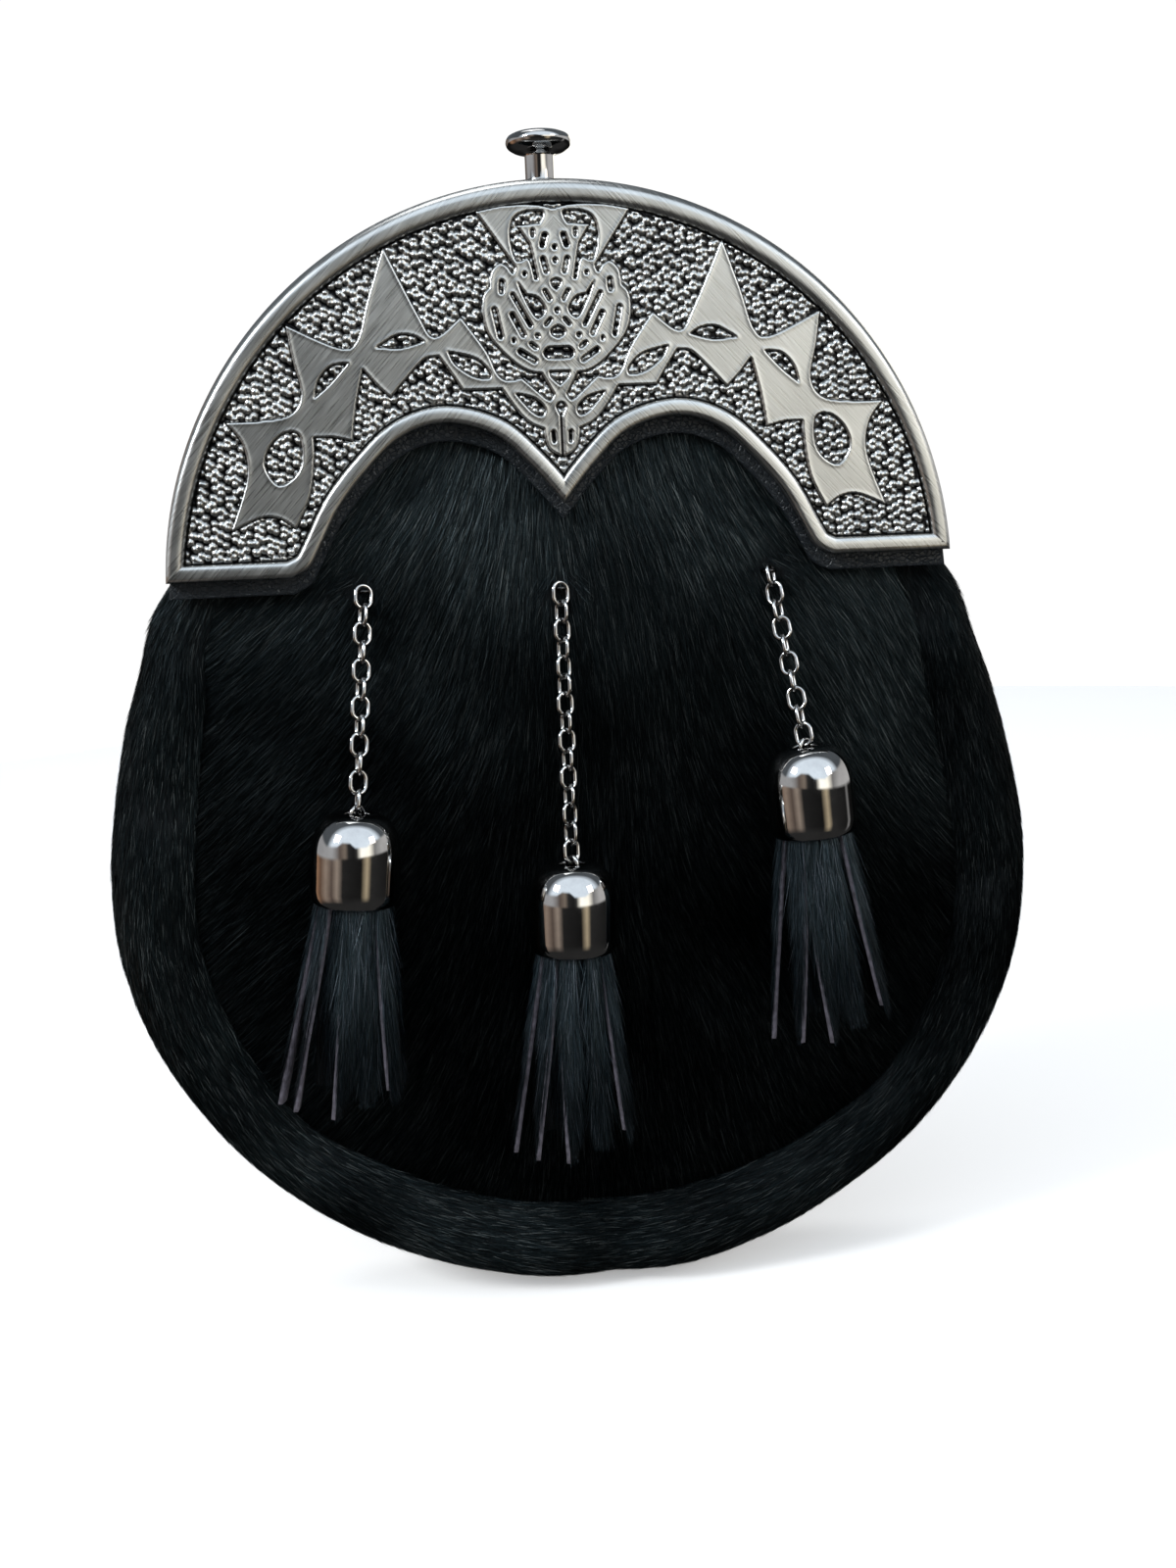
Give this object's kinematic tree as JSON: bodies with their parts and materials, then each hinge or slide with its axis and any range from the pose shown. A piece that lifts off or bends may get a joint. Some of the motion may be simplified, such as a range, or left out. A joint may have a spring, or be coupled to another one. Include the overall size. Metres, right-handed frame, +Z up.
{
  "type": "sporran pouch",
  "caption": "Round fur-covered sporran pouch with a cast thistle cantle, a top knob, hanging tassels in bell caps on chains, and a leather back with a flap and belt loops.",
  "frame": {"origin": "where the belt strap crosses the middle line, on the outer face of the back", "axes": "X to the right as the front is seen, Y from the front towards the wearer, Z up"},
  "size_m": [0.2032, 0.0529, 0.2513],
  "materials": {
    "pewter": "satin antiqued pewter, dark in the hollows",
    "gunmetal": "polished dark nickel",
    "hide": "short black hair on the hide",
    "leather": "fine-grained black leather",
    "tassel_hide": "cut strips of black haired hide"
  },
  "bodies": {
    "root": {"cantle": "pewter", "cantle_knob": "gunmetal", "leather_apron": "leather", "front_panel": "hide", "gusset_left": "hide", "gusset_right": "hide", "back_panel": "leather", "back_flap": "leather", "flap_stud": "gunmetal", "strap_loop_left": "leather", "strap_loop_right": "leather", "chain_staple_left": "gunmetal", "chain_left": "gunmetal", "tassel_hanger_left": "gunmetal", "tassel_cap_left": "gunmetal", "tassel_left": "tassel_hide", "chain_staple_middle": "gunmetal", "chain_middle": "gunmetal", "tassel_hanger_middle": "gunmetal", "tassel_cap_middle": "gunmetal", "tassel_middle": "tassel_hide", "chain_staple_right": "gunmetal", "chain_right": "gunmetal", "tassel_hanger_right": "gunmetal", "tassel_cap_right": "gunmetal", "tassel_right": "tassel_hide"}
  },
  "joints": []
}
